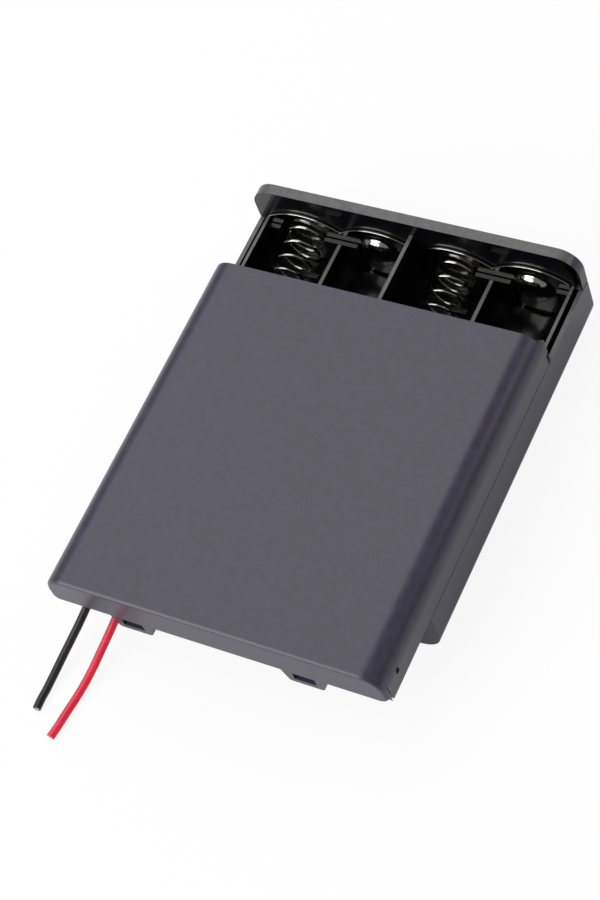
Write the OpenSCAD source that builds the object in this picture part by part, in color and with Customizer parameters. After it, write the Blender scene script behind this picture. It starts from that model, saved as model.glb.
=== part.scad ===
// Flat holder for four cylindrical cells side by side, with a sliding cover and two leads.
// Frame: X across the cells, Y along them towards the closed end plate, Z up.
// Origin: middle of the tray's underside. The cover is drawn partly slid off, as it rests.
// The modules measure Y from the tray's near face, and placed() moves them to the origin.

/* [Cells] */
// Diameter of one cell
cell_d = 14.5; // [13.5:0.1:15.5]
// Length of one cell over its nub
cell_l = 50.5; // [48:0.5:53]
// Room across a bay beyond the cell's diameter
bay_clear = 0.15; // [0.1:0.05:0.5]

/* [Tray] */
// Thickness of the tray's floor under a cell
floor_t = 1.6; // [1.2:0.1:2.4]
// Thickness of a divider between two bays
rib_t = 0.7; // [0.6:0.05:1.2]
// Height of the two outer dividers
low_rib_z = 10.5; // [9.8:0.1:11.2]
// Height of the middle divider
centre_rib_z = 16.6; // [14:0.1:17.4]
// Height at which tray and cover part
parting_z = 11.4; // [11:0.1:12]
// Width and depth of the groove that carries the parting line across the end plate
parting_groove = 0.3; // [0.2:0.05:0.4]
// Thickness of the outer side wall
outer_wall = 0.8; // [0.7:0.05:1.2]
// Width of the groove that guides the cover
groove_w = 0.75; // [0.7:0.05:1.1]
// Depth of that groove
groove_depth = 2.2; // [1.6:0.1:2.6]
// Thickness of the low wall inside the groove
inner_wall = 0.6; // [0.5:0.05:1]
// How far that low wall stands above the parting height
inner_wall_rise = 0.6; // [0.3:0.1:1]
// Thickness of the near wall
near_wall = 1.8; // [1.5:0.1:2.4]
// How far the near wall's middle stands above the parting height
near_wall_rise = 1; // [0.9:0.05:1.1]
// Distance of the near wall's raised middle from each side
near_wall_shoulder = 3.5; // [3:0.1:4]
// Width of the wiring channel behind the near wall
channel_w = 3.2; // [2.8:0.1:4]
// Thickness of the partition behind the wiring channel
partition_t = 1.4; // [1.2:0.1:2]
// Height of that partition
partition_z = 14.6; // [14:0.1:16]
// Radius of the tray's long bottom edges
bottom_r = 5; // [4:0.1:5.5]

/* [End plate] */
// Thickness of the end plate
end_t = 2.1; // [1.9:0.1:3]
// Overall height of plate and cover
total_h = 19.8; // [19.2:0.1:22]
// Radius of the upper long edges
top_r = 4.3; // [3.6:0.1:5]

/* [Retainers] */
// Thickness of the bars that hold the contact plates
retainer_t = 0.8; // [0.6:0.1:1.2]
// Width of a crosswise bar on a divider's end
retainer_w = 6.8; // [5:0.1:8]
// Length of a bar on a side wall
side_retainer_w = 2.5; // [1.5:0.1:3.5]
// Gap between a bar and its contact plate
retainer_gap = 0.2; // [0.15:0.05:0.3]
// Height of the bars on the side walls
side_retainer_z = 11.2; // [10:0.1:12]
// Width of the small lugs above the far contacts
lug_w = 3.2; // [2:0.1:4]
// Place of the left lug, from the middle
lug_left_x = 15.4; // [14:0.1:18]
// Place of the right lug, from the middle
lug_right_x = 17.8; // [14:0.1:18]
// Height of the lugs above the floor's underside
lug_z = 17.6; // [16.6:0.1:17.6]
// How far the lug stands out of the plate
lug_out = 0.5; // [0.3:0.05:0.6]

/* [Polarity marks] */
// Length of the raised minus mark in a bay with a spring at its far end
minus_l = 4.4; // [3:0.1:5]
// Width of that mark
minus_w = 0.9; // [0.6:0.1:1.2]
// Height of that mark above the bay's floor
minus_h = 0.35; // [0.2:0.05:0.5]
// Distance of that mark from the end plate
minus_from_end = 4.5; // [3.5:0.1:6]

/* [Cover] */
// How far the cover is slid off
cover_open = 16; // [1:0.5:40]
// Thickness of the cover's top
cover_top_t = 1.5; // [1.2:0.1:1.8]
// Gap between the cover and the tray
slide_gap = 0.15; // [0.1:0.05:0.2]
// Gap between the lower edge of the cover and the tray
cover_lift = 0.2; // [0.15:0.05:0.4]
// Depth of the cover's tongue in the groove
tongue_depth = 1.8; // [1.2:0.1:2]
// Thickness of the cover's end wall
cover_end_t = 1.1; // [0.9:0.1:1.4]
// How far the end wall stands out of the tray's near wall when shut
cover_end_out = 0.8; // [0.6:0.1:1]
// Radius of the end wall's outer edge
cover_end_r = 0.8; // [0.5:0.1:1]
// Height of the end wall's lower edge
cover_end_z = 12.7; // [12.65:0.05:12.9]
// Width of the slit between end wall and side at the bottom
slit_w = 0.45; // [0.3:0.05:0.7]
// Height of the slit's top
slit_z = 16.6; // [15:0.1:17.5]
// Length of the lip that goes into the end plate
lip_l = 1.6; // [1:0.05:1.65]
// How far the lip lies inside the cover's outer face
lip_inset = 0.6; // [0.55:0.05:0.8]
// Distance of the lip's inner end from the cover's side
lip_reach = 2.4; // [2:0.1:4]
// Length, height and depth of the small dimple in each side
dimple = [0.9, 1.4, 0.3];
// Distance of the dimple behind the tray's near face when shut
dimple_y = 4.1; // [3:0.1:6]
// Height of the dimple's middle
dimple_z = 15.4; // [14:0.1:16]

/* [Latch tabs] */
// Distance of a tab from the middle
tab_x = 16.6; // [15:0.1:17]
// Width of a tab at the end wall's edge
tab_top_w = 8.4; // [7:0.1:8.8]
// Width of a tab at its lower edge
tab_bottom_w = 6.9; // [6:0.1:7]
// Height of a tab's lower edge
tab_z = 9.3; // [9:0.1:9.6]
// Radius of a tab's lower corners
tab_r = 0.8; // [0.4:0.1:1]
// Width and height of the window in a tab
window = [4.2, 2];
// Height of the sill under the window
sill_h = 1.15; // [0.9:0.05:1.3]
// Room around a tab in its pocket
pocket_gap = 0.35; // [0.3:0.05:0.5]
// Width and height of a catch
catch = [3.4, 1.4];

/* [Contacts] */
// Thickness of the contact plates
contact_t = 0.4; // [0.3:0.05:0.5]
// Gap behind a contact plate
contact_gap = 0.15; // [0.1:0.05:0.25]
// Height of the lobes' tops
lobe_top = 15.3; // [14.8:0.1:15.8]
// Radius of the lobes
lobe_r = 12; // [11:0.1:14]
// Height of the plates' lower edges
contact_z = 2.7; // [2.6:0.1:3.5]
// How far a button stands out of its plate
button_h = 1.7; // [1:0.1:2]
// Diameter of a button's foot
button_foot_d = 8.8; // [8:0.1:9.2]
// Diameter of a button's crown
button_crown_d = 6.4; // [5.5:0.1:6.8]
// How far a button's middle lies above the middle of its bay
button_rise = 0.8; // [0:0.1:1]
// Width of a solder tab
solder_tab_w = 3; // [2.4:0.1:3.6]
// Height of a solder tab's underside
solder_tab_z = 12.4; // [12:0.1:12.8]
// How far a solder tab reaches over the wiring channel
solder_tab_l = 2.1; // [2:0.1:2.6]
// Distance of a solder tab from the middle of its bay
solder_tab_x = 4; // [3.6:0.1:4.4]

/* [Springs] */
// Diameter of the spring wire
spring_wire = 0.6; // [0.5:0.05:0.8]
// Radius of the coil next to the plate, to the wire's middle
spring_foot_r = 4; // [3.4:0.1:4.6]
// Radius of the coil next to the cell, to the wire's middle
spring_tip_r = 2.6; // [2:0.1:3]
// Free length of a spring
spring_l = 10.2; // [9:0.1:11]
// Length of a spring with a cell in the bay
spring_work_l = 8.2; // [7.5:0.1:8.8]
// Turns of a spring
spring_turns = 4.5; // [4:0.25:5.5]

/* [Leads] */
// Diameter of a lead over its insulation
lead_d = 1.5; // [1.2:0.1:1.6]
// Diameter of the strands in a lead
strand_d = 0.8; // [0.6:0.1:1]
// Distance of the black lead's notch from the middle
black_x = 26.9; // [26:0.1:27.4]
// Distance of the red lead's notch from the middle
red_x = 23; // [22.7:0.1:23.4]
// Height of the leads in their notches
lead_z = 10.3; // [10:0.1:10.6]
// Room around a lead in its notch
notch_gap = 0.1; // [0.05:0.05:0.2]
// Bare strands between a lead's end and its solder tab
tab_clear = 0.4; // [0.3:0.1:0.8]
// Thickness of the solder around the strands
solder_t = 0.4; // [0.3:0.05:0.5]
// Height of the black lead in the wiring channel
run_z = 4; // [3.6:0.1:5]

/* [Hidden] */

$fn = 64;
eps = 0.01;

bays = 4;
bay_w = cell_d + bay_clear;
pitch = bay_w + rib_t;
half_in = (bays * bay_w + (bays - 1) * rib_t) / 2;
half_w = half_in + inner_wall + groove_w + outer_wall;
bay_z = floor_t + bay_w / 2;
groove_in = half_in + inner_wall;
groove_out = groove_in + groove_w;
groove_z = parting_z - groove_depth;

partition_y = near_wall + channel_w;
near_back = partition_y + partition_t;
near_face = near_back + contact_gap + contact_t;
far_face = near_face + button_h + cell_l + spring_work_l;
plate_y = far_face + contact_t + contact_gap;
total_l = plate_y + end_t;
slot_z = contact_z - contact_gap;
pair_w = 2 * bay_w + rib_t;
lobe_z = lobe_top - lobe_r;

cover_in = groove_in + slide_gap;
cover_z = parting_z + cover_lift;
cover_ceiling = total_h - cover_top_t;
cover_inner_r = top_r - (half_w - cover_in);
cover_far = plate_y - slide_gap;
pocket_d = cover_end_t - cover_end_out + slide_gap;
near_wall_z = parting_z + near_wall_rise;
window_z = tab_z + sill_h;
catch_z = window_z + (window[1] - catch[1]) / 2;

lead_r = lead_d / 2;
notch_r = lead_r + notch_gap;
black_tab_x = bay_x(bays - 1) - solder_tab_x;
red_tab_x = bay_x(0) + solder_tab_x;
strand_l = solder_tab_w / 2 + tab_clear + strand_d / 2;

plastic = "#26252a";
cover_plastic = "#55545c";
nickel = "#c9c6bf";
steel_wire = "#d5d2cc";
red_pvc = "#c4213a";
black_pvc = "#1b1b1d";
tin = "#b9b6ae";

function bay_x(i) = (i - (bays - 1) / 2) * pitch;

// Routes of the free leads, from the near wall outwards and down onto the table
red_route = [
    [-23.0, 0, 10.3], [-23.0, -2, 10.3], [-23.0, -5, 9.7], [-23.0, -8, 8.9],
    [-23.0, -11, 7.7], [-23.2, -14, 6.3], [-23.7, -17, 4.9], [-24.3, -20, 3.5],
    [-24.8, -23, 2.3], [-25.3, -26, 1.4], [-25.8, -29, 0.9], [-26.2, -32, 0.8],
    [-26.5, -35, 0.8], [-26.8, -37, 0.8],
];
black_route = [
    [-26.9, 0, 10.3], [-26.9, -2, 10.3], [-27.3, -5, 9.7], [-27.9, -8, 8.9],
    [-28.6, -11, 7.7], [-29.3, -14, 6.3], [-29.9, -17, 4.9], [-30.6, -20, 3.5],
    [-31.2, -23, 2.3], [-31.6, -26, 1.4], [-31.8, -29, 0.9], [-31.9, -31, 0.8],
    [-31.8, -33, 0.8],
];

// Routes of the leads inside the tray, from the near wall to their solder tabs
solder_y = near_wall + channel_w - lead_r - notch_gap;
solder_z = solder_tab_z + contact_t + strand_d / 2 + eps;
run_y = near_wall + channel_w / 2;
red_end = red_tab_x - solder_tab_w / 2 - tab_clear;
black_end = black_tab_x - solder_tab_w / 2 - tab_clear;
red_inside = [
    [-red_x, 0, lead_z], [-red_x, near_wall + 0.1, lead_z], [-red_x, run_y - 0.6, lead_z + 0.2],
    [-red_x + 0.1, run_y + 0.1, lead_z + 0.9], [-red_x + 0.5, solder_y - 0.3, lead_z + 1.8],
    [red_end - 0.8, solder_y, solder_z - 0.1], [red_end - 0.3, solder_y, solder_z],
    [red_end, solder_y, solder_z],
];
black_inside = [
    [-black_x, 0, lead_z], [-black_x, near_wall + 0.1, lead_z], [-black_x + 0.1, run_y - 0.5, lead_z - 0.3],
    [-black_x + 0.5, run_y, lead_z - 1.4], [-black_x + 1.3, run_y, lead_z - 2.9],
    [-black_x + 2.3, run_y, run_z + 1.9], [-black_x + 3.8, run_y, run_z + 0.6],
    [-black_x + 6, run_y, run_z + 0.1], for (i = [0 : 3]) [-black_x + 9 + 7 * i, run_y, run_z],
    [black_end - 7, run_y, run_z + 0.2], [black_end - 4.8, run_y, run_z + 1.5],
    [black_end - 3.4, run_y, run_z + 3.6], [black_end - 2.5, run_y + 0.2, run_z + 5.8],
    [black_end - 1.8, run_y + 0.5, run_z + 7.8], [black_end - 1, solder_y - 0.1, solder_z - 0.3],
    [black_end - 0.3, solder_y, solder_z], [black_end, solder_y, solder_z],
];

// ---- Shared helpers ----

function unit(v) = v / norm(v);
function tangent(p, i) = unit(p[min(i + 1, len(p) - 1)] - p[max(i - 1, 0)]);
function ring(p, i, r, sides, ref) =
    let (t = tangent(p, i), u = unit(cross(t, ref)), v = cross(t, u))
    [for (k = [0 : sides - 1]) p[i] + r * (cos(360 * k / sides) * u + sin(360 * k / sides) * v)];
function arc(c, r, a0, a1, steps = 8) =
    [for (i = [0 : steps]) c + r * [cos(a0 + (a1 - a0) * i / steps), sin(a0 + (a1 - a0) * i / steps)]];

// A tube of radius r along the points p; ref is a direction that p never follows
module tube(p, r, ref, sides = 8) {
    last = sides * (len(p) - 1);
    polyhedron(
        points = [for (i = [0 : len(p) - 1]) each ring(p, i, r, sides, ref)],
        faces = concat(
            [[for (k = [0 : sides - 1]) k]],
            [for (i = [0 : len(p) - 2], k = [0 : sides - 1])
                let (a = i * sides, n = (k + 1) % sides)
                each [[a + k, a + sides + k, a + sides + n], [a + k, a + sides + n, a + n]]],
            [[for (k = [sides - 1 : -1 : 0]) last + k]]
        )
    );
}

// Stands a flat shape upright, its thickness from y to y + t
module upright(y, t) {
    translate([0, y + t, 0])
        rotate([90, 0, 0])
            linear_extrude(t)
                children();
}

// A bar across x from x0 to x1, y0 to y1, z0 to z1
module block(x0, x1, y0, y1, z0, z1) {
    translate([x0, y0, z0])
        cube([x1 - x0, y1 - y0, z1 - z0]);
}

// Moves a node from the near face's Y to the origin's
module placed() {
    translate([0, -total_l / 2, 0])
        children();
}

module both_sides() {
    children();
    mirror([1, 0, 0])
        children();
}

// Section with rounded upper corners and, where rb is above 0, rounded lower ones
module section(half, z0, z1, rt, rb = 0) {
    translate([-half, z0 + rb])
        square([2 * half, z1 - z0 - rt - rb]);
    translate([-half + rt, z0 + rb])
        square([2 * (half - rt), z1 - z0 - rb]);
    for (side = [-1, 1])
        translate([side * (half - rt), z1 - rt])
            intersection() {
                circle(rt);
                translate([-rt, -eps])
                    square([2 * rt, rt + 1]);
            }
    if (rb > 0) {
        translate([-half + rb, z0])
            square([2 * (half - rb), z1 - z0 - rt]);
        for (side = [-1, 1])
            translate([side * (half - rb), z0 + rb])
                circle(rb);
    }
}

// ---- Tray ----

// The moulding before anything is hollowed out of it
module tray_outside() {
    // Floor and side walls
    difference() {
        upright(0, plate_y + eps)
            section(half_w, 0, parting_z + bottom_r, bottom_r, bottom_r);
        block(-half_w - 1, half_w + 1, -1, plate_y + 1, parting_z, total_h + 1);
    }
    // Low walls inside the grooves
    both_sides()
        block(half_in, groove_in, 0, plate_y + eps, parting_z - eps, parting_z + inner_wall_rise);
    // Raised middle of the near wall
    block(-half_w + near_wall_shoulder, half_w - near_wall_shoulder, 0, near_wall,
        parting_z - eps, near_wall_z);
    // Partition behind the wiring channel
    block(-half_in - eps, half_in + eps, partition_y, near_back, parting_z - eps, partition_z);
    // Middle divider
    block(-rib_t / 2, rib_t / 2, near_face + retainer_gap, plate_y + eps, parting_z - eps, centre_rib_z);
    // End plate
    upright(plate_y, end_t)
        section(half_w, 0, total_h, top_r, bottom_r);
}

// Round-bottomed room for one cell and its two contacts
module bay_room(i) {
    translate([bay_x(i), near_back, bay_z])
        rotate([-90, 0, 0])
            cylinder(d = bay_w, h = plate_y - near_back);
    block(bay_x(i) - bay_w / 2, bay_x(i) + bay_w / 2, near_back, plate_y, bay_z, total_h);
}

// Slots that the contact plates stand in
module contact_slots() {
    slot_y = near_face + retainer_gap;
    far_y = far_face - retainer_gap;
    // Far end, one slot for each pair of bays
    for (side = [-1, 1])
        block(side * (rib_t + pair_w) / 2 - pair_w / 2, side * (rib_t + pair_w) / 2 + pair_w / 2,
            far_y, plate_y, slot_z, total_h);
    // Near end, one slot across the two middle bays and one in each outer bay
    block(-pair_w / 2, pair_w / 2, near_back, slot_y, slot_z, total_h);
    for (i = [0, bays - 1])
        block(bay_x(i) - bay_w / 2, bay_x(i) + bay_w / 2, near_back, slot_y, slot_z, total_h);
}

// Keeps the two outer dividers low
module low_divider_cut() {
    for (side = [-1, 1])
        block(side * pitch - pitch / 2, side * pitch + pitch / 2, near_back, plate_y, low_rib_z, total_h);
}

// Shape of the lip on the cover's right shoulder, made larger by grow
module lip(y0, length, grow) {
    r = top_r - lip_inset;
    intersection() {
        upright(y0, length)
            difference() {
                section(half_w - lip_inset + grow, cover_z - grow, total_h - lip_inset + grow, r);
                section(cover_in - grow, 0, cover_ceiling - grow, cover_inner_r);
            }
        translate([half_w - lip_reach, 0, 0])
            rotate([90, 0, 90])
                linear_extrude(lip_reach)
                    polygon([
                        [y0 - 1, 0], [y0 + length, 0], [y0 + length, slit_z + grow],
                        [y0 - 1, total_h + grow],
                    ]);
    }
}

module lead_notch(x) {
    translate([x, -1, lead_z])
        rotate([-90, 0, 0])
            cylinder(r = notch_r, h = near_wall + 1 + eps);
    block(x - notch_r, x + notch_r, -1, near_wall + eps, lead_z, total_h);
}

module tray_hollows() {
    for (i = [0 : bays - 1])
        bay_room(i);
    low_divider_cut();
    contact_slots();
    // Wiring channel
    block(-half_in, half_in, near_wall, partition_y, slot_z, total_h);
    // Grooves for the cover's tongues
    both_sides()
        block(groove_in, groove_out, -1, plate_y, groove_z, total_h);
    // Pockets for the latch tabs
    both_sides()
        block(tab_x - tab_top_w / 2 - pocket_gap, tab_x + tab_top_w / 2 + pocket_gap,
            -1, pocket_d, tab_z - pocket_gap, total_h);
    lead_notch(-black_x);
    lead_notch(-red_x);
    // Notches that let the solder tabs through
    for (x = [red_tab_x, black_tab_x])
        block(x - solder_tab_w / 2 - slide_gap, x + solder_tab_w / 2 + slide_gap,
            partition_y - eps, near_back + eps, solder_tab_z - slide_gap, total_h);
    // Pocket for the cover's lip
    lip(plate_y - eps, lip_l + eps, slide_gap);
    // The parting line goes on across the end plate's sides
    both_sides()
        block(half_w - parting_groove, half_w + 1, plate_y - eps, total_l + 1, parting_z,
            parting_z + parting_groove);
}

// Crosswise bar on a divider
module divider_bar(x, y) {
    block(x - retainer_w / 2, x + retainer_w / 2, y, y + retainer_t, floor_t, low_rib_z);
}

module side_bar(y) {
    both_sides()
        block(half_in - side_retainer_w, half_in + eps, y, y + retainer_t, floor_t, side_retainer_z);
}

// Catch in a tab's pocket: sloped above, square below
module tab_catch() {
    translate([tab_x - catch[0] / 2, 0, 0])
        rotate([90, 0, 90])
            linear_extrude(catch[0])
                polygon([
                    [pocket_d + eps, catch_z], [-cover_end_out / 2, catch_z],
                    [-cover_end_out / 2, catch_z + catch[1] / 4], [pocket_d + eps, catch_z + catch[1]],
                ]);
}

module minus_mark(i) {
    top = bay_z - sqrt(pow(bay_w / 2, 2) - pow(minus_l / 2, 2)) + minus_h;
    y = plate_y - minus_from_end;
    block(bay_x(i) - minus_l / 2, bay_x(i) + minus_l / 2, y - minus_w / 2, y + minus_w / 2,
        floor_t - eps, top);
}

module body_tray() {
    near_bar_y = near_face + retainer_gap;
    far_bar_y = far_face - retainer_gap - retainer_t;
    color(plastic) {
        difference() {
            tray_outside();
            tray_hollows();
        }
        for (side = [-1, 1]) {
            divider_bar(side * pitch, far_bar_y);
            divider_bar(side * pitch, near_bar_y);
        }
        for (x = [-lug_left_x, lug_right_x])
            block(x - lug_w / 2, x + lug_w / 2, plate_y - lug_out, plate_y + eps, lug_z, lug_z + lug_out);
        divider_bar(0, near_bar_y);
        side_bar(far_bar_y);
        side_bar(near_bar_y);
        both_sides()
            tab_catch();
        minus_mark(0);
        minus_mark(2);
    }
}

// ---- Cover ----

// Outline of the cover's end wall, drawn in by inset at its top and sides
module end_outline(inset) {
    section(half_w - inset, cover_end_z, total_h - inset, top_r - inset, cover_end_r, $fn = 32);
}

module cover_end_wall() {
    front = -cover_end_out;
    hull() {
        for (a = [0 : 30 : 90])
            upright(front + cover_end_r * (1 - cos(a)), eps)
                end_outline(cover_end_r * (1 - sin(a)));
        upright(cover_end_t - cover_end_out - eps, eps)
            end_outline(0);
    }
}

module latch_tab() {
    upright(-cover_end_out, cover_end_t)
        translate([tab_x, 0])
            difference() {
                polygon(concat(
                    [[tab_top_w / 2, cover_end_z + tab_r], [tab_top_w / 2, cover_end_z]],
                    arc([tab_bottom_w / 2 - tab_r, tab_z + tab_r], tab_r, 0, -90),
                    arc([-tab_bottom_w / 2 + tab_r, tab_z + tab_r], tab_r, -90, -180),
                    [[-tab_top_w / 2, cover_end_z], [-tab_top_w / 2, cover_end_z + tab_r]]
                ));
                translate([-window[0] / 2, window_z])
                    square(window);
            }
}

module slide_cover() {
    end_y = cover_end_t - cover_end_out;
    color(cover_plastic)
        translate([0, -cover_open, 0])
            difference() {
                union() {
                    // Top and sides
                    difference() {
                        upright(end_y - eps, cover_far - end_y + eps)
                            section(half_w, cover_z, total_h, top_r);
                        upright(end_y - 2 * eps, cover_far - end_y + 1)
                            section(cover_in, 0, cover_ceiling, cover_inner_r);
                    }
                    cover_end_wall();
                    both_sides()
                        latch_tab();
                    // Tongues that run in the grooves
                    both_sides()
                        block(cover_in, groove_out - slide_gap, near_wall, plate_y - 1,
                            cover_z - tongue_depth, cover_z + eps);
                    lip(cover_far - eps, lip_l + eps, 0);
                }
                // Tapered slits between end wall and sides
                both_sides()
                    translate([cover_in - 1, 0, 0])
                        rotate([90, 0, 90])
                            linear_extrude(half_w - cover_in + 2)
                                polygon([
                                    [end_y, 0], [end_y + slit_w, 0], [end_y + slit_w, cover_z],
                                    [end_y + slit_w / 4, slit_z], [end_y, slit_z],
                                ]);
                // Dimples
                both_sides()
                    block(half_w - dimple[2], half_w + 1, dimple_y - dimple[0] / 2, dimple_y + dimple[0] / 2,
                        dimple_z - dimple[1] / 2, dimple_z + dimple[1] / 2);
                // The windows go through the end wall's lower edge too
                both_sides()
                    block(tab_x - window[0] / 2, tab_x + window[0] / 2, -cover_end_out - 1, end_y + 1,
                        window_z, window_z + window[1]);
            }
}

// ---- Contacts ----

// Outline of a contact plate with a lobe in each of the bays listed
module lobes(list, x0, x1) {
    intersection() {
        translate([x0, contact_z])
            square([x1 - x0, lobe_top]);
        for (i = list)
            translate([bay_x(i), lobe_z])
                circle(lobe_r);
    }
}

// Pressed button, its foot on the plane y = 0 and its crown towards +y
module button(lift) {
    foot = button_foot_d / 2;
    crown = button_crown_d / 2;
    steps = 10;
    rotate([-90, 0, 0])
        rotate_extrude()
            polygon(concat(
                [[0, -eps]], [[foot, -eps]],
                [for (s = [0 : steps])
                    [foot + (crown - foot) * s / steps, lift * (1 - cos(180 * s / steps)) / 2]],
                [[0, lift]]
            ));
}

// A plate at y, with a button towards +y or -y in one bay, hollow behind
module contact(list, x0, x1, y, button_bay, way) {
    face = way > 0 ? y + contact_t : y;
    back = way > 0 ? y : y + contact_t;
    difference() {
        union() {
            upright(y, contact_t)
                lobes(list, x0, x1);
            if (button_bay >= 0)
                translate([bay_x(button_bay), face, bay_z + button_rise])
                    facing(way)
                        button(button_h);
        }
        if (button_bay >= 0)
            translate([bay_x(button_bay), back, bay_z + button_rise])
                facing(way)
                    translate([0, -eps, 0])
                        button(button_h - contact_t / 2);
    }
}

// Turns a shape that points to +y towards -y where way is below 0
module facing(way) {
    rotate([0, 0, way > 0 ? 0 : 180])
        children();
}

module solder_tab(x) {
    block(x - solder_tab_w / 2, x + solder_tab_w / 2, partition_y - solder_tab_l,
        near_back + contact_gap + eps, solder_tab_z, solder_tab_z + contact_t);
}

module far_contact(first) {
    room = contact_gap;
    x0 = bay_x(first) - bay_w / 2 + room;
    color(nickel)
        contact([first, first + 1], x0, x0 + pair_w - 2 * room, far_face, first + 1, -1);
}

module near_single(i, button_bay, tab_at) {
    room = contact_gap;
    color(nickel) {
        contact([i], bay_x(i) - bay_w / 2 + room, bay_x(i) + bay_w / 2 - room,
            near_back + contact_gap, button_bay, 1);
        solder_tab(tab_at);
    }
}

module far_contact_left() {
    far_contact(0);
}

module far_contact_right() {
    far_contact(2);
}

module near_contact_bridge() {
    room = contact_gap;
    color(nickel)
        contact([1, 2], -pair_w / 2 + room, pair_w / 2 - room, near_back + contact_gap, 2, 1);
}

module near_contact_positive() {
    near_single(0, 0, red_tab_x);
}

module near_contact_negative() {
    near_single(3, -1, black_tab_x);
}

// ---- Springs ----

// Conical compression spring, its foot at y = 0 and its tip towards +y
function spring_rise(t) =
    let (dead = 0.75, live = spring_turns - 2 * dead, closed = spring_wire * 0.6)
    t < dead ? closed * t
    : t < dead + live ? closed * dead + (spring_l - spring_wire - 2 * closed * dead) * (t - dead) / live
    : spring_l - spring_wire - closed * (spring_turns - t);

module spring(i, y, way) {
    steps = 22 * spring_turns;
    path = [for (s = [0 : steps])
        let (t = spring_turns * s / steps, a = 360 * t,
            r = spring_foot_r + (spring_tip_r - spring_foot_r) * t / spring_turns)
        [r * cos(a), spring_wire / 2 + eps + spring_rise(t), -r * sin(a)]];
    color(steel_wire)
        translate([bay_x(i), y, bay_z])
            facing(way)
                tube(path, spring_wire / 2, [0, 1, 0], 6);
}

module far_spring_left() {
    spring(0, far_face, -1);
}

module far_spring_right() {
    spring(2, far_face, -1);
}

module near_spring_bridge() {
    spring(1, near_face, 1);
}

module near_spring_negative() {
    spring(3, near_face, 1);
}

// ---- Leads ----

module strands(x) {
    color(tin)
        translate([x, solder_y, solder_z])
            rotate([0, 90, 0])
                cylinder(d = strand_d, h = strand_l);
}

module solder_joint(x, start) {
    r = strand_d + solder_t;
    color(tin)
        difference() {
            translate([x, solder_y, solder_tab_z + contact_t])
                intersection() {
                    sphere(r = r);
                    translate([-r, -r, 0])
                        cube(2 * r);
                }
            translate([start, solder_y, solder_z])
                rotate([0, 90, 0])
                    cylinder(d = strand_d + 2 * eps, h = strand_l + eps);
        }
}

module red_lead() {
    color(red_pvc)
        tube(red_route, lead_r, [1, 0, 0]);
}

module red_lead_inside() {
    color(red_pvc)
        tube(red_inside, lead_r, [0, 0, 1]);
}

module red_lead_strands() {
    strands(red_end);
}

module red_solder_joint() {
    solder_joint(red_tab_x, red_end);
}

module black_lead() {
    color(black_pvc)
        tube(black_route, lead_r, [1, 0, 0]);
}

module black_lead_inside() {
    color(black_pvc)
        tube(black_inside, lead_r, [0, 0, 1]);
}

module black_lead_strands() {
    strands(black_end);
}

module black_solder_joint() {
    solder_joint(black_tab_x, black_end);
}

placed() body_tray();
placed() slide_cover();
placed() far_contact_left();
placed() far_contact_right();
placed() near_contact_bridge();
placed() near_contact_positive();
placed() near_contact_negative();
placed() far_spring_left();
placed() far_spring_right();
placed() near_spring_bridge();
placed() near_spring_negative();
placed() red_lead();
placed() red_lead_inside();
placed() red_lead_strands();
placed() red_solder_joint();
placed() black_lead();
placed() black_lead_inside();
placed() black_lead_strands();
placed() black_solder_joint();
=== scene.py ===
# %% [markdown]
# # A holder for four cylindrical cells
#
# The real object is two black mouldings, a tray and a sliding cover, with
# pressed contact plates, coiled springs and two leads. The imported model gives
# every piece its size and place. This script gives each one its finish: the
# mouldings get softened edges and a moulded grain, and the springs, leads,
# strands, buttons and solder joints are worked out again as smooth surfaces.

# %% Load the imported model
import math

import bmesh
import bpy
import numpy as np
from mathutils import Matrix, Vector


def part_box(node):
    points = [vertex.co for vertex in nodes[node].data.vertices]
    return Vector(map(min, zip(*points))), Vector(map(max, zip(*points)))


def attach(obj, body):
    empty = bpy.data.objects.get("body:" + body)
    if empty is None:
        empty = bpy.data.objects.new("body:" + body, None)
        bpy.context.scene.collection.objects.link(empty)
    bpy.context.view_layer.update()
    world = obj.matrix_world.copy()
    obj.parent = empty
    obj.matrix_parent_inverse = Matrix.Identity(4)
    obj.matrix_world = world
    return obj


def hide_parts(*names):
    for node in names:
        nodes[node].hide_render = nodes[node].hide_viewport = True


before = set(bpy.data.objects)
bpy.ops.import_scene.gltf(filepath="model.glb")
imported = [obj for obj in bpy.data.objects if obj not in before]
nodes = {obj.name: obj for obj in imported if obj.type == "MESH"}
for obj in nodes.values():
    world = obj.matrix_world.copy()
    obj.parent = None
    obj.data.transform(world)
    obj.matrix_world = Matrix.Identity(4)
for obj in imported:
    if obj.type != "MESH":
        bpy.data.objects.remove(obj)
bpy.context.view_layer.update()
MM = 0.001

# %% [markdown]
# ## The camera
#
# The holder is seen from above its near right corner, with the camera rolled
# a little, so that the long sides run up to the right. A camera can be aimed
# with angles, but a roll is easier to state as the three directions of the
# camera: its right, its up and its back.

# %% Place the camera
CAMERA_RIGHT = (0.8762, 0.4132, -0.2482)
CAMERA_UP = (-0.2406, 0.8212, 0.5175)
CAMERA_BACK = (0.4176, -0.3937, 0.8189)
CAMERA_PLACE = Vector((0.175256, -0.17985, 0.361386))
LENS_MM, SENSOR_MM = 98.1, 36
NEAREST_SEEN, FARTHEST_SEEN = 0.01, 20


def place_in_scene(name, data):
    """Puts a mesh, a lamp or a camera into the scene, at its origin."""
    thing = bpy.data.objects.new(name, data)
    bpy.context.scene.collection.objects.link(thing)
    return thing


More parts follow.
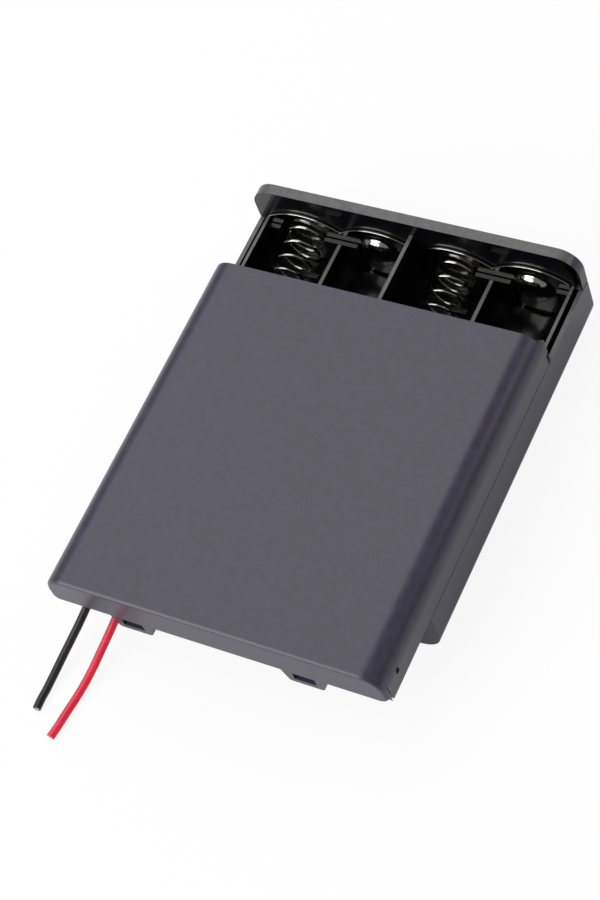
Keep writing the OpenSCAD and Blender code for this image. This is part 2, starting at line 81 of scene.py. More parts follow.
camera_data = bpy.data.cameras.new("camera")
camera_data.sensor_width = SENSOR_MM
camera_data.lens = LENS_MM
camera_data.clip_start, camera_data.clip_end = NEAREST_SEEN, FARTHEST_SEEN
camera = place_in_scene("camera", camera_data)
camera_turn = Matrix((CAMERA_RIGHT, CAMERA_UP, CAMERA_BACK)).transposed()
camera.matrix_world = Matrix.Translation(CAMERA_PLACE) @ camera_turn.to_4x4()
bpy.context.scene.camera = camera
print("camera", [round(v, 3) for v in CAMERA_PLACE])

# %% [markdown]
# ## Surfaces on a grid
#
# Nearly every new piece is a ring of points carried along a path: a wire, a
# lead, a spring, a button. Blender's curves could give the same tubes, but a
# grid of points keeps each formula in sight: the faces follow from the
# points' places in the grid, and the whole piece is worked out as arrays.

# %% Turn a grid of points into a mesh
def face_outwards(mesh):
    """Turns every face of a closed mesh outwards."""
    work = bmesh.new()
    work.from_mesh(mesh)
    bmesh.ops.recalc_face_normals(work, faces=work.faces)
    work.to_mesh(mesh)
    work.free()


def grid_piece(name, points):
    """A closed-ring grid as a mesh: point (i, j) sits at row i of the path and
    place j of the ring. Each face joins rows i and i + 1 and places j and
    j + 1, where the last place joins the first. A cap closes each end."""
    rows, ring, _ = points.shape
    i, j = np.meshgrid(np.arange(rows - 1), np.arange(ring), indexing="ij")
    n = (j + 1) % ring
    faces = np.stack([i * ring + j, i * ring + n, (i + 1) * ring + n, (i + 1) * ring + j], -1)
    faces = faces.reshape(-1, 4).tolist()
    faces.append(list(range(ring))[::-1])
    faces.append(list(range((rows - 1) * ring, rows * ring)))
    mesh = bpy.data.meshes.new(name)
    mesh.from_pydata(points.reshape(-1, 3).tolist(), [], faces)
    mesh.update()
    face_outwards(mesh)
    return place_in_scene(name, mesh)


print("a grid of points can become a closed mesh")


# %% Carry a ring along a path
TUBE_SIDES = 24


def along(path):
    """Unit directions of a path: the difference of each point's neighbours,
    divided by its length."""
    step = np.gradient(path, axis=0)
    return step / np.linalg.norm(step, axis=1, keepdims=True)


def square_to(path, side):
    """Two unit directions square to a path with directions t: u is the part
    of side that is square to t, and v = t x u."""
    t = along(path)
    u = side - (t * side).sum(1, keepdims=True) * t
    u /= np.linalg.norm(u, axis=1, keepdims=True)
    return u, np.cross(t, u)


def tube_points(path, radius, side, sides=TUBE_SIDES):
    """Rings around a path. At a point p, with u and v square to the path,
    place j of the ring is p + radius (u cos a + v sin a), with
    a = 2 pi j / sides."""
    u, v = square_to(path, side)
    angle = np.linspace(0, 2 * np.pi, sides, endpoint=False)
    spoke = (np.cos(angle)[None, :, None] * u[:, None, :]
             + np.sin(angle)[None, :, None] * v[:, None, :])
    return path[:, None, :] + radius * spoke


print("a ring can be carried along a path, with", TUBE_SIDES, "sides")


# %% Draw a smooth path
def smooth_path(knots, per_span=6):
    """A Catmull-Rom curve through the knots: between two knots it blends four
    neighbours with the cubic weights of s, s squared and s cubed."""
    k = np.asarray(knots, float)
    k = np.vstack([2 * k[0] - k[1], k, 2 * k[-1] - k[-2]])
    s = np.arange(per_span)[:, None] / per_span
    a, b, c, d = (k[:-3, None], k[1:-2, None], k[2:-1, None], k[3:, None])
    curve = 0.5 * (2 * b + (c - a) * s + (2 * a - 5 * b + 4 * c - d) * s**2
                   + (3 * b - a - 3 * c + d) * s**3)
    return np.vstack([curve.reshape(-1, 3), k[-2:-1]])


TRAY_L = 70.0


def in_frame(points):
    """Points measured from the near wall in millimetres, moved to the
    origin in the tray's middle and turned into metres."""
    return (np.asarray(points, float) - (0, TRAY_L / 2, 0)) * MM


print("a point at the near wall lies at", in_frame((0, 0, 0)).tolist())

# %% [markdown]
# ## Finishes: how a material is built here
#
# A moulded or plated surface is never one flat colour. Each finish starts
# from a Principled shader, and noise on Object coordinates varies its colour
# and roughness and gives it a fine relief. Object coordinates are metres on
# the piece itself, so the scale of the noise is one over the size of a grain
# in metres, and the grain stays put when the cover slides.

# %% A finish with grain
BROAD_DETAIL, FINE_DETAIL = 3, 2
TONE_LOW, TONE_HIGH = 0.7, 1.3


def noise_node(tree, place, grain_size_mm, detail):
    """A noise texture on Object coordinates, with grains of that size."""
    node = tree.nodes.new("ShaderNodeTexNoise")
    node.inputs["Scale"].default_value = 1 / MM / grain_size_mm
    node.inputs["Detail"].default_value = detail
    tree.links.new(place.outputs["Object"], node.inputs["Vector"])
    return node


def finish(name, colour, roughness, metallic=0.0, grain_mm=0.3, grain_depth_mm=0.004,
           mottle=0.1, mottle_mm=4.0, rough_spread=0.05):
    """A Principled material. Its colour runs from a darker to a lighter tone
    with the sum of a broad and a fine noise, its roughness swings by
    rough_spread with the broad one, and the fine one raises a bump of
    grain_depth_mm."""
    material = bpy.data.materials.new(name)
    material.use_nodes = True
    tree = material.node_tree
    link = tree.links.new
    shader = tree.nodes["Principled BSDF"]
    shader.inputs["Metallic"].default_value = metallic
    place = tree.nodes.new("ShaderNodeTexCoord")
    broad = noise_node(tree, place, mottle_mm, BROAD_DETAIL)
    fine = noise_node(tree, place, grain_mm, FINE_DETAIL)
    both = tree.nodes.new("ShaderNodeMath")
    both.operation = "ADD"
    link(broad.outputs["Fac"], both.inputs[0])
    link(fine.outputs["Fac"], both.inputs[1])
    tone = tree.nodes.new("ShaderNodeMapRange")
    tone.inputs["From Min"].default_value = TONE_LOW
    tone.inputs["From Max"].default_value = TONE_HIGH
    link(both.outputs[0], tone.inputs["Value"])
    mix = tree.nodes.new("ShaderNodeMix")
    mix.data_type = "RGBA"
    mix.inputs["A"].default_value = (*[c * (1 - mottle) for c in colour], 1)
    mix.inputs["B"].default_value = (*[min(1, c * (1 + mottle)) for c in colour], 1)
    link(tone.outputs["Result"], mix.inputs["Factor"])
    link(mix.outputs["Result"], shader.inputs["Base Color"])
    rough = tree.nodes.new("ShaderNodeMapRange")
    rough.inputs["To Min"].default_value = roughness - rough_spread
    rough.inputs["To Max"].default_value = roughness + rough_spread
    link(broad.outputs["Fac"], rough.inputs["Value"])
    link(rough.outputs["Result"], shader.inputs["Roughness"])
    relief = tree.nodes.new("ShaderNodeBump")
    relief.inputs["Strength"].default_value = 1.0
    relief.inputs["Distance"].default_value = grain_depth_mm * MM
    link(fine.outputs["Fac"], relief.inputs["Height"])
    link(relief.outputs["Normal"], shader.inputs["Normal"])
    print("finish:", name)
    return material


# %% [markdown]
# Both mouldings come out of a mould whose outside is finely textured and
# whose inside is polished. Outside, the black plastic shows its own slate grey
# and a satin finish. Inside it is glossy, and its colour is darkened nearly to
# black: painted shade for the bays. The tray's upright rims get a paler copy:
# painted light on the faces that look up. One recipe with different numbers
# serves all of them, because it is the same plastic.

# %% The plastics
satin_plastic = finish("satin_black_plastic", (0.041, 0.036, 0.062), 0.33, grain_mm=0.28,
                       grain_depth_mm=0.003, mottle=0.22, mottle_mm=1.6)
# The inside's colour is darkened nearly to black as painted shade; its lower roughness is the
# real polish.
shaded_polished_plastic = finish("polished_black_plastic_painted_shade", (0.004, 0.004, 0.005), 0.2, grain_mm=0.6,
                          grain_depth_mm=0.001, mottle=0.3, mottle_mm=6.0)
# The rims' copy is paler than the plastic: painted light on faces that look up.
painted_light_rim_plastic = finish("painted_light_black_plastic", (0.1, 0.098, 0.1), 0.4, grain_mm=0.25,
                        grain_depth_mm=0.004, mottle=0.3, mottle_mm=1.2)

# %% The metals
nickel = finish("nickel_plated_sheet", (0.52, 0.51, 0.49), 0.12, metallic=1.0,
                grain_mm=0.8, grain_depth_mm=0.001, mottle=0.08, mottle_mm=2.5,
                rough_spread=0.04)
spring_wire = finish("nickel_plated_wire", (0.42, 0.415, 0.4), 0.12, metallic=1.0,
                     grain_mm=0.3, grain_depth_mm=0.001, mottle=0.1, mottle_mm=2.0)
tinned = finish("tinned_copper", (0.66, 0.64, 0.6), 0.26, metallic=1.0, grain_mm=0.2,
                grain_depth_mm=0.002, mottle=0.1, mottle_mm=1.0)

# %% The leads' insulation
red_pvc = finish("red_pvc", (0.86, 0.03, 0.07), 0.34, grain_depth_mm=0.003, mottle=0.12,
                 mottle_mm=3.0)
black_pvc = finish("black_pvc", (0.014, 0.014, 0.016), 0.36, grain_depth_mm=0.003,
                   mottle=0.2, mottle_mm=3.0)


# %% [markdown]
# ## Dressing a piece
#
# Each new piece needs the same few things: its materials, smooth shading, the
# body that it moves with, and the packed nodes that it stands for, which it
# hides. One helper does them all, so none is forgotten.

# %% Dress a piece
def dress(piece, materials, body, slot, *replaced, smooth_angle=35):
    """Gives a piece its materials and smooth shading, seats it on a body and
    hides the CAD nodes that it stands for. Its slot is not used. An edge
    sharper than smooth_angle stays crisp, unless the angle is None."""
    piece.data.materials.clear()
    for material in materials:
        piece.data.materials.append(material)
    piece.data.shade_smooth()
    if smooth_angle is not None:
        piece.data.set_sharp_from_angle(angle=math.radians(smooth_angle))
    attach(piece, body)
    if replaced:
        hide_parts(*replaced)
    print(piece.name, "rides on the", body)


# %% [markdown]
# ## The two leads
#
# A red and a black lead of 1.5 mm leave through notches in the near wall,
# sink under their own weight and end in a plain cut on the table. Each is a
# round tube along one smooth curve through listed points, because a cord
# has one thickness all along and no corners. At the cut end the tube turns in
# on itself, and seven fine wires show in its bore.

# %% The leads' sizes and routes
LEAD_R = 0.75 * MM
STRAND_R = 0.4 * MM
SIDEWAYS = np.array([1.0, 0, 0])
red_route = [
    (-23, 0, 10.3), (-23, -2, 10.3), (-23, -5, 9.7), (-23, -8, 8.9), (-23, -11, 7.7),
    (-23.2, -14, 6.3), (-23.7, -17, 4.9), (-24.3, -20, 3.5), (-24.8, -23, 2.3),
    (-25.3, -26, 1.4), (-25.8, -29, 0.9), (-26.2, -32, 0.8), (-26.5, -35, 0.8),
    (-26.8, -37, 0.8),
]
black_route = [
    (-26.9, 0, 10.3), (-26.9, -2, 10.3), (-27.3, -5, 9.7), (-27.9, -8, 8.9),
    (-28.6, -11, 7.7), (-29.3, -14, 6.3), (-29.9, -17, 4.9), (-30.6, -20, 3.5),
    (-31.2, -23, 2.3), (-31.6, -26, 1.4), (-31.8, -29, 0.9), (-31.9, -31, 0.8),
    (-31.8, -33, 0.8),
]
print("points on the red and the black route:", len(red_route), len(black_route))

# %% Insulation with a cut end
CUT_ROUNDING, CUT_STEP = 0.94, 0.02 * MM
BORE_ROWS = 5


def insulation(name, path, side):
    """The insulation of a lead: a tube whose rings run along the outside,
    then turn in at the cut end and back along the bore for a short way."""
    rings = tube_points(path, LEAD_R, side)
    edge = tube_points(path, LEAD_R * CUT_ROUNDING, side)[-1:] + along(path)[-1] * CUT_STEP
    bore = tube_points(path, STRAND_R, side)[-BORE_ROWS:][::-1]
    return grid_piece(name, np.vstack([rings, edge, bore]))


print("the insulation is", 2 * LEAD_R / MM, "mm across")

# %% A bundle of fine wires
OUTER_WIRES = 6
WIRE_TOUCH = 0.98
FINE_WIRE_SIDES = 10


def join_pieces(name, parts):
    """Joins several pieces into one mesh."""
    work = bmesh.new()
    for part in parts:
        work.from_mesh(part.data)
    mesh = bpy.data.meshes.new(name)
    work.to_mesh(mesh)
    work.free()
    for part in parts:
        old = part.data
        bpy.data.objects.remove(part)
        bpy.data.meshes.remove(old)
    return place_in_scene(name, mesh)


def strand_bundle(name, path, side, turns=0.6):
    """Seven fine wires: one in the middle and six around it. Outer wire k
    follows the path at one wire's width and angle 2 pi k / 6 + 2 pi turns s,
    where s goes from 0 to 1 along the path."""
    u, v = square_to(path, side)
    s = np.linspace(0, 1, len(path))
    wire_r = STRAND_R / 3
    parts = []
    for k in range(1 + OUTER_WIRES):
        reach = 0 if k == 0 else 2 * wire_r * WIRE_TOUCH
        angle = 2 * np.pi * (k / OUTER_WIRES + turns * s)[:, None]
        centre = path + reach * (np.cos(angle) * u + np.sin(angle) * v)
        rings = tube_points(centre, wire_r, side, FINE_WIRE_SIDES)
        parts.append(grid_piece(f"{name}_{k}", rings))
    return join_pieces(name, parts)


print("a bundle is", round(2 * STRAND_R / MM, 2), "mm across")

# %% The free leads
CUT_STRAND_ROWS = 8


def free_lead(colour, route, material, slot):
    """One lead outside the holder along its route: its insulation and the fine wires at its cut
    end.
    """
    path = smooth_path(in_frame(route))
    lead = insulation(colour + "_lead_free", path, SIDEWAYS)
    dress(lead, [material], "tray", slot, colour + "_lead")
    strands = strand_bundle(colour + "_lead_cut_strands", path[-CUT_STRAND_ROWS:], SIDEWAYS)
    dress(strands, [tinned], "tray", "tinned_copper")


free_lead("red", red_route, red_pvc, "red_pvc")
free_lead("black", black_route, black_pvc, "black_pvc")


# %% [markdown]
# ## Inside the near wall
#
# Behind the near wall each lead turns up to a solder tab. Its insulation ends
# a little before the tab, the bare strands lie across it, and a dome of
# solder holds them. The cover hides them until it is slid off. The tubes
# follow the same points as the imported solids, so they keep clear of the walls.

# %% The routes inside
red_inside = [
    (-23, 0, 10.3), (-23, 1.9, 10.3), (-23, 2.8, 10.5), (-22.9, 3.5, 11.2),
    (-22.5, 3.85, 12.1), (-21.725, 4.15, 13.11), (-21.225, 4.15, 13.21),
    (-20.925, 4.15, 13.21),
]
black_inside = [
    (-26.9, 0, 10.3), (-26.9, 1.9, 10.3), (-26.8, 2.9, 10), (-26.4, 3.4, 8.9),
    (-25.6, 3.4, 7.4), (-24.6, 3.4, 5.9), (-23.1, 3.4, 4.6), (-20.9, 3.4, 4.1),
    (-17.9, 3.4, 4), (-10.9, 3.4, 4), (-3.9, 3.4, 4), (3.1, 3.4, 4),
    (10.125, 3.4, 4.2), (12.325, 3.4, 5.5), (13.725, 3.4, 7.6), (14.625, 3.6, 9.8),
    (15.325, 3.9, 11.8), (16.125, 4.05, 12.91), (16.825, 4.15, 13.21),
    (17.125, 4.15, 13.21),
]
print("points inside, red and black:", len(red_inside), len(black_inside))

# %% The leads behind the wall
INSIDE_POINTS_PER_SPAN = 4
STEEP_SIDE = np.array([0, 0.3, 1.0])
UPWARDS = np.array([0, 0, 1.0])
BARE_L, BARE_ROWS, BARE_TURNS = 2.3, 12, 0.4


def inside_lead(colour, route, material, slot):
    """The insulation along the route, and the bare strands beyond its end."""
    path = smooth_path(in_frame(route), INSIDE_POINTS_PER_SPAN)
    tube = grid_piece(colour + "_lead_behind_wall", tube_points(path, LEAD_R, STEEP_SIDE))
    dress(tube, [material], "tray", slot, colour + "_lead_inside")
    end = np.asarray(route[-1], float)
    bare = in_frame(end + np.linspace(0, BARE_L, BARE_ROWS)[:, None] * (1, 0, 0))
    strands = strand_bundle(colour + "_lead_bare_strands", bare, UPWARDS, BARE_TURNS)
    dress(strands, [tinned], "tray", "tinned_copper", colour + "_lead_strands")


inside_lead("red", red_inside, red_pvc, "red_pvc")
inside_lead("black", black_inside, black_pvc, "black_pvc")
print("bare strands, mm:", BARE_L)

# %% Domes of solder
TAB_X, TAB_Y = 19.025, 4.15
SOLDER_R, SOLDER_FOOT_Z = 1.2, 12.8
DOME_ROWS, DOME_SIDES = 14, 36
ALMOST_A_QUARTER = 0.49 * np.pi


def solder_dome(name, x, node):
    """A dome of solder: at each angle a, from 0 at the foot to nearly a
    quarter turn at the top, its radius is SOLDER_R cos a and its height
    SOLDER_R sin a."""
    a = np.linspace(0, ALMOST_A_QUARTER, DOME_ROWS)[:, None]
    turn = np.linspace(0, 2 * np.pi, DOME_SIDES, endpoint=False)[None, :]
    centre = in_frame((x, TAB_Y, SOLDER_FOOT_Z))
    reach = SOLDER_R * MM * np.cos(a)
    height = np.broadcast_to(centre[2] + SOLDER_R * MM * np.sin(a), (DOME_ROWS, DOME_SIDES))
    points = np.stack([centre[0] + reach * np.cos(turn), centre[1] + reach * np.sin(turn),
                       height], -1)
    dome = grid_piece(name, points)
    dress(dome, [tinned], "tray", "tinned_copper", node)


solder_dome("red_solder_dome", -TAB_X, "red_solder_joint")
solder_dome("black_solder_dome", TAB_X, "black_solder_joint")

# %% [markdown]
# ## Springs
#
# Each spring is a slim cone of steel wire that presses on a cell's flat end.
# Its first and last three quarters of a turn lie nearly flat, and the turns
# between them rise evenly. A screw modifier can't ease into flat ends, so the
# middle line of the wire is worked out point by point.

# %% The wire's middle line
WIRE_R = 0.3
TURNS, FLAT_TURN = 4.5, 0.75
FLAT_RISE, COIL_RISE, SPRING_TOP = 0.36, 9.06, 9.6
FOOT_R, TIP_R = 4.0, 2.6
FOOT_GAP = 0.01
STEPS_PER_TURN = 48
EASE_REACH, EASE_FROM = 6, 0.3


def spring_centres():
    """The wire's middle line. At turn t the radius falls evenly from FOOT_R to
    TIP_R, the angle is a full turn times t, and the height is FLAT_RISE t over
    the first FLAT_TURN, then even up to the last one, then flat again. A
    running mean eases the bends between the three."""
    t = np.linspace(0, TURNS, int(TURNS * STEPS_PER_TURN) + 1)
    radius = FOOT_R - (FOOT_R - TIP_R) * t / TURNS
    first = FLAT_RISE * t
    middle = FLAT_RISE * FLAT_TURN + COIL_RISE * (t - FLAT_TURN) / (TURNS - 2 * FLAT_TURN)
    last = SPRING_TOP - FLAT_RISE * (TURNS - t)
    height = np.where(t < FLAT_TURN, first, np.where(t < TURNS - FLAT_TURN, middle, last))
    window = 2 * EASE_REACH + 1
    padded = np.pad(height, EASE_REACH, mode="edge")
    eased = np.convolve(padded, np.ones(window) / window, mode="valid")
    height = np.where((t > EASE_FROM) & (t < TURNS - EASE_FROM), eased, height)
    angle = 2 * np.pi * t
    return np.stack([radius * np.cos(angle), WIRE_R + FOOT_GAP + height,
                     -radius * np.sin(angle)], 1)


coil = spring_centres()
print("spring height, mm:", round(float(np.ptp(coil[:, 1])) + 2 * WIRE_R, 2))

# %% Wind the four springs
PITCH = 15.35
FACE_NEAR, FACE_FAR, BAY_Z = 6.95, 67.35, 8.925
SPRING_SIDES = 14
ALONG_TRAY = np.array([0, 1.0, 0])

for node in sorted(n for n in nodes if "_spring_" in n):
    low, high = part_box(node)
    x = 0.5 * (low[0] + high[0]) / MM
    bay_x = PITCH * (math.floor(x / PITCH) + 0.5)
    far = node.startswith("far")
    way = np.array([-1, -1, 1]) if far else np.array([1, 1, 1])
    path = in_frame(coil * way + (bay_x, FACE_FAR if far else FACE_NEAR, BAY_Z))
    rings = tube_points(path, WIRE_R * MM, ALONG_TRAY, SPRING_SIDES)
    wire = grid_piece(node + "_wire", rings)
    dress(wire, [spring_wire], "tray", "spring_steel", node)

# %% [markdown]
# ## The two mouldings
#
# A moulded part has no razor edges: the mould's corners are slightly round,
# and that rounding catches the light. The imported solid's mesh is copied, its
# loose triangles are merged into flat faces, and a bevel rounds its edges.
# Weighted normals keep the large flat faces flat in the light.

# %% Copy a solid and soften its edges
MERGE_M = 1e-6
FLAT_ANGLE, EDGE_ANGLE = math.radians(0.5), math.radians(30)
BEVEL_SEGMENTS, NORMAL_WEIGHT = 2, 50


def softened(node, name, width_mm, cuts=()):
    """A copy of a CAD node: doubles merged, flat regions dissolved into one
    face each, and a live bevel of width_mm on edges sharper than EDGE_ANGLE.
    Its faces are divided across y at each of the cuts."""
    work = bmesh.new()
    work.from_mesh(nodes[node].data)
    bmesh.ops.remove_doubles(work, verts=work.verts, dist=MERGE_M)
    bmesh.ops.dissolve_limit(work, angle_limit=FLAT_ANGLE, verts=work.verts,
                             edges=work.edges)
    for cut in cuts:
        bmesh.ops.bisect_plane(work, geom=work.verts[:] + work.edges[:] + work.faces[:],
                               plane_co=in_frame((0, cut, 0)), plane_no=(0, 1, 0))
    mesh = bpy.data.meshes.new(name)
    work.to_mesh(mesh)
    work.free()
    piece = place_in_scene(name, mesh)
    bevel = piece.modifiers.new("soft_edges", "BEVEL")
    bevel.width = width_mm * MM
    bevel.segments = BEVEL_SEGMENTS
    bevel.limit_method = "ANGLE"
    bevel.angle_limit = EDGE_ANGLE
    bevel.use_clamp_overlap = True
    even = piece.modifiers.new("even_normals", "WEIGHTED_NORMAL")
    even.mode = "FACE_AREA"
    even.weight = NORMAL_WEIGHT
    print(name, "faces:", len(mesh.polygons))
    return piece


# %% Read and mark a mesh's faces
def face_arrays(mesh):
    """Middles (in millimetres, measured from the near wall) and normals of
    all faces, as two arrays."""
    count = len(mesh.polygons)
    middle = np.empty(count * 3)
    normal = np.empty(count * 3)
    mesh.polygons.foreach_get("center", middle)
    mesh.polygons.foreach_get("normal", normal)
    middle = middle.reshape(-1, 3) / MM + (0, TRAY_L / 2, 0)
    return middle, normal.reshape(-1, 3)


def choose_materials(mesh, number):
    """Gives each face the material whose number the array holds."""
    mesh.polygons.foreach_set("material_index", number.astype(np.int32))
    mesh.update()
    print(mesh.name, "faces of each material:", np.bincount(number.astype(int)).tolist())


# %% [markdown]
# The tray needs three of the plastics. Its outside is satin, its rims get a
# paler copy as painted light, and its inside is polished and painted in shade.
# A face belongs outside when it lies on the rounded outline that the tray shows
# from its end, or on an end wall. A rim is a face that looks up, above the
# bays, so its paler colour stands for light falling from above. The bars that
# hold the contact plates and the two small lugs over the far ones are kept in
# the inside's painted shade. The bars share their tops with the dividers, so
# the copy is cut there.

# %% The tray's outline
HALF_W, TOTAL_H = 32.5, 19.8
BOTTOM_R, TOP_R = 5.0, 4.3


def outside_depth(middle):
    """How deep a point lies inside the tray's rounded outline, seen from its
    end: the distance to the nearest side, or to the corner's circle where the
    point is in a corner."""
    x, z = np.abs(middle[:, 0]), middle[:, 2]
    radius = np.where(z < TOTAL_H / 2, BOTTOM_R, TOP_R)
    px = x - (HALF_W - radius)
    pz = np.abs(z - TOTAL_H / 2) - (TOTAL_H / 2 - radius)
    corner = (px > 0) & (pz > 0)
    return np.where(corner, radius - np.hypot(px, pz), np.minimum(radius - px, radius - pz))


print("the tray is", 2 * HALF_W, "mm wide and", TOTAL_H, "mm high")

# %% The tray: satin outside, painted light on its rims, painted shade and polish inside
SATIN, PAINTED_LIGHT, SHADED_POLISHED = 0, 1, 2
EDGE_SOFTNESS = 0.12
SKIN, END_SKIN = 0.12, 0.05
NEAR_BARS, FAR_BARS, BARS_TOP = (6, 8.2), (66.2, 67.8), 11.3
LUGS, LUGS_LOW = (67.2, 68.3), 17
RIM_LOW, LOOKS_UP = 9.9, 0.7


def between(values, span):
    """Where the values lie inside the span."""
    return (values > span[0]) & (values < span[1])


tray = softened("body_tray", "tray_moulding", EDGE_SOFTNESS,
                cuts=(NEAR_BARS[1], FAR_BARS[0]))
middle, normal = face_arrays(tray.data)
y, z = middle[:, 1], middle[:, 2]
outside = (outside_depth(middle) < SKIN) | (y < END_SKIN) | (y > TRAY_L - END_SKIN)
# The bars and lugs keep the inside's painted shade.
bars = (between(y, NEAR_BARS) | between(y, FAR_BARS)) & (z < BARS_TOP)
lugs = between(y, LUGS) & (z > LUGS_LOW)
# Faces that look up above the bays get the paler plastic: painted light from above.
rim = (normal[:, 2] > LOOKS_UP) & (z > RIM_LOW) & ~bars & ~lugs
dress(tray, [satin_plastic, painted_light_rim_plastic, shaded_polished_plastic], "tray", "tray_plastic",
      "body_tray", smooth_angle=None)
choose_materials(tray.data, np.where(rim, PAINTED_LIGHT, np.where(outside, SATIN, SHADED_POLISHED)))

# %% The cover: satin outside, painted shade and polish inside and on its lip
COVER_IN, COVER_CEILING, COVER_END, COVER_FAR = 31.1, 18.3, -15.7, 51.75
REACH_IN, REACH_OUT = 0.02, 0.03
LOOKS_FAR = 0.9
cover = softened("slide_cover", "cover_moulding", EDGE_SOFTNESS)
middle, normal = face_arrays(cover.data)
# Faces inside the cover and on its lip get the near-black plastic: painted shade.
inside = ((np.abs(middle[:, 0]) < COVER_IN + REACH_IN)
          & (middle[:, 2] < COVER_CEILING + REACH_IN)
          & (middle[:, 1] > COVER_END - REACH_IN) & (normal[:, 1] < LOOKS_FAR))
inside |= middle[:, 1] > COVER_FAR + REACH_OUT
dress(cover, [satin_plastic, shaded_polished_plastic], "cover", "cover_plastic", "slide_cover",
      smooth_angle=None)
choose_materials(cover.data, inside)

# %% [markdown]
# ## Contact plates
#
# The plates are pressed from thin nickel-plated sheet. The flat of each plate
# is a bevelled copy of its solid. The pressed button is turned round one
# axis, so it is worked out again as a smooth surface, and the solid's own
# coarse button is pressed back behind the plate's face.

# %% Where the buttons are
BUTTON_RISE, BUTTON_FOOT_R = 0.8, 4.4
BUTTONS = {
    "far_contact_left": (-PITCH / 2, FACE_FAR, -1),
    "far_contact_right": (PITCH * 1.5, FACE_FAR, -1),
    "near_contact_positive": (-PITCH * 1.5, FACE_NEAR, 1),
    "near_contact_bridge": (PITCH / 2, FACE_NEAR, 1),
}
print("buttons on:", sorted(BUTTONS))

# %% A smooth button
BUTTON_H, CROWN_R, SHOULDER_R, FILLET_R = 1.7, 1.1, 3.0, 0.99
BUTTON_SLOPE = math.radians(55)
ARC_ROWS, BUTTON_SIDES = 16, 72
CROWN_ROWS = [0.5, 0.05]
TUCK_OUT, TUCK_IN = 0.02, 0.1
BUTTON_CRISP_ANGLE = 60


def button(name, x, face_y, way):
    """A surface of revolution about the line through (x, BAY_Z + BUTTON_RISE)
    along y. A fillet leaves the plate: r = foot - FILLET_R sin a and
    h = FILLET_R (1 - cos a), with a from 0 to BUTTON_SLOPE. A shoulder leads
    on to the flat crown: r = CROWN_R + SHOULDER_R sin a and
    h = BUTTON_H - SHOULDER_R (1 - cos a), with a back to 0."""
    foot = CROWN_R + (SHOULDER_R + FILLET_R) * math.sin(BUTTON_SLOPE)
    a = np.linspace(0, BUTTON_SLOPE, ARC_ROWS)
    fillet_r, fillet_h = foot - FILLET_R * np.sin(a), FILLET_R * (1 - np.cos(a))
    back = a[-2::-1]
    shoulder_r = CROWN_R + SHOULDER_R * np.sin(back)
    shoulder_h = BUTTON_H - SHOULDER_R * (1 - np.cos(back))
    radius = np.concatenate([[foot + TUCK_OUT], fillet_r, shoulder_r, CROWN_ROWS])[:, None]
    crown_h = [BUTTON_H] * len(CROWN_ROWS)
    height = np.concatenate([[-TUCK_IN], fillet_h, shoulder_h, crown_h])[:, None]
    turn = np.linspace(0, 2 * np.pi, BUTTON_SIDES, endpoint=False)[None, :]
    depth = np.broadcast_to(face_y + way * height, (len(radius), BUTTON_SIDES))
    points = np.stack([x + radius * np.cos(turn), depth,
                       BAY_Z + BUTTON_RISE + radius * np.sin(turn)], -1)
    dome = grid_piece(name, in_frame(points))
    dress(dome, [nickel], "tray", "contact_nickel", smooth_angle=BUTTON_CRISP_ANGLE)


print("a button is", BUTTON_H, "mm high")

# %% Press the coarse button back
RAISED, BEHIND, BUTTON_MARGIN = 0.01, 0.05, 0.1


def press_back(mesh, x, face_y, way):
    """Moves the points of the solid's button to just behind the face."""
    place = np.empty(len(mesh.vertices) * 3)
    mesh.vertices.foreach_get("co", place)
    place = place.reshape(-1, 3) / MM + (0, TRAY_L / 2, 0)
    reach = np.hypot(place[:, 0] - x, place[:, 2] - BAY_Z - BUTTON_RISE)
    raised = way * (place[:, 1] - face_y) > RAISED
    raised &= reach < BUTTON_FOOT_R + BUTTON_MARGIN
    place[raised, 1] = face_y - way * BEHIND
    mesh.vertices.foreach_set("co", in_frame(place).ravel())
    mesh.update()
    print("points pressed back:", int(raised.sum()))


# %% The flat plates, with their buttons
PLATE_SOFTNESS = 0.08
for node in sorted(n for n in nodes if "contact" in n):
    plate = softened(node, node + "_plate", PLATE_SOFTNESS)
    if node in BUTTONS:
        press_back(plate.data, *BUTTONS[node])
        button(node + "_button", *BUTTONS[node])
    dress(plate, [nickel], "tray", "contact_nickel", node, smooth_angle=None)

# %% [markdown]
# ## Floor and light
#
# The holder lies on a pale table in soft studio light. The table looks white
# to the camera because part of its colour is its own glow there, so no extra
# light has to fall on the holder. Glossy surfaces see a little of that glow,
# and the rest of the table keeps the holder's shadow.

# %% The table
FLOOR_REACH = 3
TABLE_GREY, TABLE_ROUGHNESS = 0.9, 0.6
GLOW_TO_CAMERA, GLOW_TO_GLOSS = 0.9, 0.2
floor_mesh = bpy.data.meshes.new("floor")
corners = [(x * FLOOR_REACH, y * FLOOR_REACH, 0) for x, y in ((-1, -1), (1, -1), (1, 1), (-1, 1))]
floor_mesh.from_pydata(corners, [], [(0, 1, 2, 3)])
floor = place_in_scene("floor", floor_mesh)


def math_node(tree, operation, *values):
    """A Math node. A socket among the values is linked, a number is set."""
    node = tree.nodes.new("ShaderNodeMath")
    node.operation = operation
    for slot, value in zip(node.inputs, values):
        if isinstance(value, bpy.types.NodeSocket):
            tree.links.new(value, slot)
        else:
            slot.default_value = value
    return node.outputs[0]


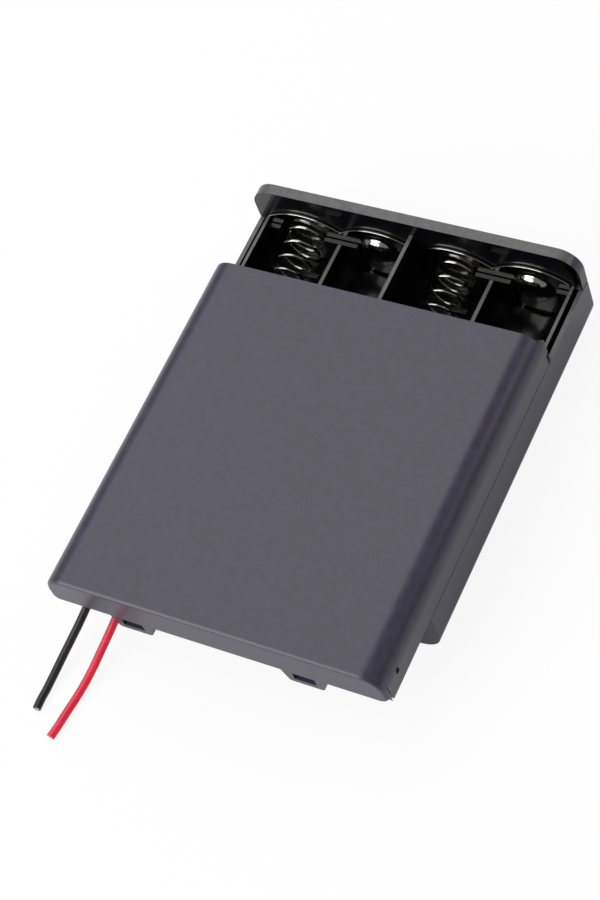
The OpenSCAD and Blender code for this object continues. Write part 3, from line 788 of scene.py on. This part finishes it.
table = bpy.data.materials.new("white_table")
table.use_nodes = True
tree = table.node_tree
shader = tree.nodes["Principled BSDF"]
shader.inputs["Base Color"].default_value = (TABLE_GREY, TABLE_GREY, TABLE_GREY, 1)
shader.inputs["Roughness"].default_value = TABLE_ROUGHNESS
glow = tree.nodes.new("ShaderNodeEmission")
glow.inputs["Color"].default_value = (1, 1, 1, 1)
glow.inputs["Strength"].default_value = 1.0
rays = tree.nodes.new("ShaderNodeLightPath").outputs
bounced = math_node(tree, "MAXIMUM", rays["Is Glossy Ray"], rays["Is Transmission Ray"])
faint = math_node(tree, "MULTIPLY", bounced, GLOW_TO_GLOSS)
share = math_node(tree, "MULTIPLY_ADD", rays["Is Camera Ray"], GLOW_TO_CAMERA, faint)
mix = tree.nodes.new("ShaderNodeMixShader")
tree.links.new(share, mix.inputs["Fac"])
tree.links.new(shader.outputs[0], mix.inputs[1])
tree.links.new(glow.outputs[0], mix.inputs[2])
tree.links.new(mix.outputs[0], tree.nodes["Material Output"].inputs["Surface"])
floor_mesh.materials.append(table)
print("the table reaches", FLOOR_REACH, "m each way")


# %% [markdown]
# Three soft panels light it. The large one overhead gives the cover's top its
# even grey, the one in front lights the near end wall, and a weak one at the
# far right keeps the right side from going black. The sky adds a faint,
# even light.

# %% Lamps and sky
SKY_STRENGTH = 0.25


def soft_lamp(name, place, aim, size, watts):
    """A rectangular panel at a place, turned to face the aim."""
    lamp = bpy.data.lights.new(name, "AREA")
    lamp.shape = "RECTANGLE"
    lamp.size, lamp.size_y = size
    lamp.energy = watts
    way = Vector(aim) - Vector(place)
    turned = way.to_track_quat("-Z", "Y").to_matrix().to_4x4()
    place_in_scene(name, lamp).matrix_world = Matrix.Translation(place) @ turned
    print(name, "watts:", watts)


soft_lamp("overhead_panel", (-0.432, 0.12, 0.8), (-0.432, 0.12, 0), (0.9, 1.52), 7.4)
soft_lamp("right_panel", (0.5, 0.56, 0.4), (0, 0, 0), (0.5, 0.3), 0.8)
soft_lamp("front_panel", (-0.42, -0.74, 0.5), (0, 0, 0), (0.7, 0.5), 5.5)
world = bpy.data.worlds.new("studio")
bpy.context.scene.world = world
world.use_nodes = True
sky = world.node_tree.nodes["Background"]
sky.inputs["Color"].default_value = (1, 1, 1, 1)
sky.inputs["Strength"].default_value = SKY_STRENGTH

bpy.context.scene.view_settings.view_transform = "Standard"

# %% Update the scene and finish
bpy.context.view_layer.update()
